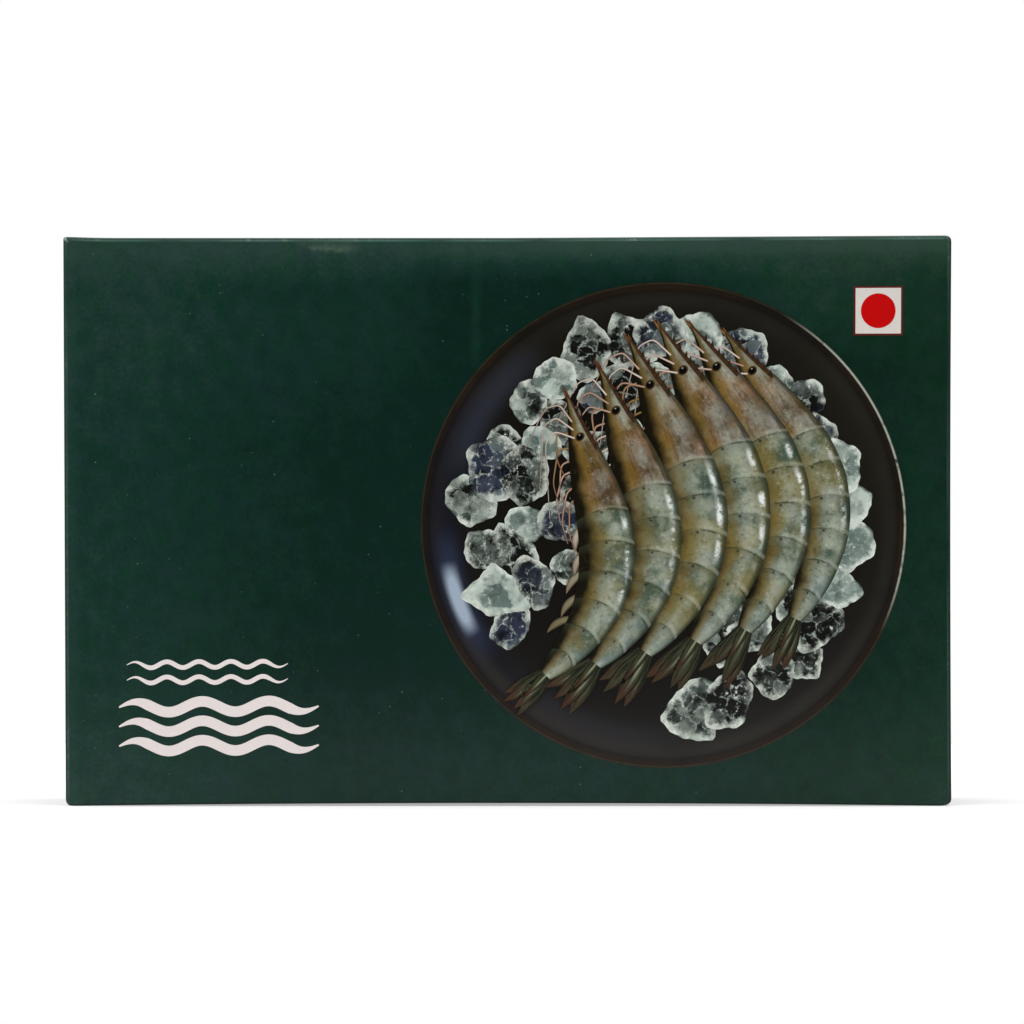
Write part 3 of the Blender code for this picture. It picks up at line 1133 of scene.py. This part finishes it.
def print_mark():
    """The common dot-in-a-square food mark, with a thin line round it."""
    inks = [
        plain_ink("mark_red", (192, 10, 12), (184, 14, 12)),
        plain_ink("mark_white", (216, 209, 203), (208, 202, 196)),
        plain_ink("mark_line", (100, 32, 28), (84, 26, 24)),
    ]
    sheet = Sheet("print_mark", inks)
    sheet.add(square(MARK_CENTRE, MARK_SIDE / 2), 2, 0)
    sheet.add(square(MARK_CENTRE, MARK_SIDE / 2 - MARK_LINE), 1, 1)
    sheet.add(disc(MARK_CENTRE, lambda turn: MARK_DISC, 3, 72), 0, 2)
    return sheet.build()


# Waves: ends, heights, half width, swing and length, then how they swell from their tips
THIN_WAVES = ((-90.3, -52.1), (33.2, 29.6), 0.55, 0.7, 7.6)
BOLD_WAVES = ((-92.2, -44.8), (23.2, 18.6, 14.0), 1.25, 1.25, 15.8)
WAVE_TIP = 0.15
WAVE_SWELL = 6


def print_waves():
    """Plain sea waves where a name would be: thin ones over bold ones."""
    sheet = Sheet("print_waves", [plain_ink("wave_white", (224, 214, 212), (216, 208, 205))])
    for ends, heights, half, swing, length in (THIN_WAVES, BOLD_WAVES):
        for height in heights:
            x = np.linspace(ends[0], ends[1], 121)
            z = height + swing * np.sin((x - ends[0]) * 2 * math.pi / length)
            inward = WAVE_SWELL * np.minimum(x - ends[0], ends[1] - x) / (ends[1] - ends[0])
            swell = half * np.minimum(1, WAVE_TIP + inward)
            sheet.add(ribbon(np.stack([x, z], 1), swell, swell, 4), 0, 0)
    return sheet.build()


# Camera, floor and light


def add_camera():
    data = bpy.data.cameras.new("camera")
    data.sensor_width = SENSOR
    data.lens = SENSOR * CAMERA_DISTANCE / VIEW_WIDTH
    camera = bpy.data.objects.new("camera", data)
    camera.location = (CAMERA_X, FRONT - CAMERA_DISTANCE, CAMERA_HEIGHT)
    camera.rotation_euler = (math.radians(90), 0, 0)
    bpy.context.scene.collection.objects.link(camera)
    bpy.context.scene.camera = camera


def add_lamp(name, place, side, power):
    data = bpy.data.lights.new(name, "AREA")
    data.shape = "SQUARE"
    data.size = side
    data.energy = power
    lamp = bpy.data.objects.new(name, data)
    lamp.location = place
    lamp.visible_camera = False
    facing = Vector((0, 0, HEIGHT / 2)) - lamp.location
    lamp.rotation_euler = facing.to_track_quat("-Z", "Y").to_euler()
    bpy.context.scene.collection.objects.link(lamp)


def add_floor():
    bm = bmesh.new()
    bmesh.ops.create_circle(bm, cap_ends=True, radius=FLOOR_RADIUS, segments=96)
    mesh = bpy.data.meshes.new("floor")
    bm.to_mesh(mesh)
    bm.free()
    nodes = Surface("floor_paper")
    grain = nodes.noise(nodes.place(), 60.0, 3.0)
    inputs = {
        "Base Color": nodes.mix(grain, *((tone, tone, tone, 1) for tone in FLOOR_TONES)),
        "Roughness": 0.9,
        "Specular IOR Level": 0.1,
        "Emission Color": WHITE,
        "Emission Strength": FLOOR_GLOW,
    }
    mesh.materials.append(nodes.shade(inputs))
    floor = bpy.data.objects.new("floor", mesh)
    bpy.context.scene.collection.objects.link(floor)


def add_world():
    """A pale studio all round, with a dim side behind the camera so that the film stays clear."""
    world = bpy.data.worlds.new("studio")
    bpy.context.scene.world = world
    nodes = Nodes(world)
    _, y, _ = nodes.split(nodes.place("Generated"))
    ramp = nodes.new("MapRange", {"Value": y, **STUDIO_LIGHT}, interpolation_type="SMOOTHSTEP")
    light = nodes.new("Background", {"Color": WHITE, "Strength": ramp.outputs["Result"]})
    seen = nodes.new("Background", {"Color": WHITE, "Strength": 1.0})
    camera_ray = nodes.new("LightPath").outputs["Is Camera Ray"]
    both = nodes.new("MixShader", {0: camera_ray, 1: light.outputs[0], 2: seen.outputs[0]})
    nodes.new("OutputWorld", {"Surface": both.outputs[0]})


def add_studio():
    add_camera()
    add_floor()
    add_world()
    for name, values in LAMPS.items():
        add_lamp(name, *values)
    bpy.context.scene.view_settings.view_transform = "Standard"


def take_in(piece):
    """The piece stands for the carton and moves with it."""
    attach(piece, "root")
    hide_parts("carton")


def main():
    add_studio()
    pieces = [build_board(), print_dish(), print_ice(), print_mark(), print_waves()]
    for piece in pieces + print_prawns():
        take_in(piece)


main()
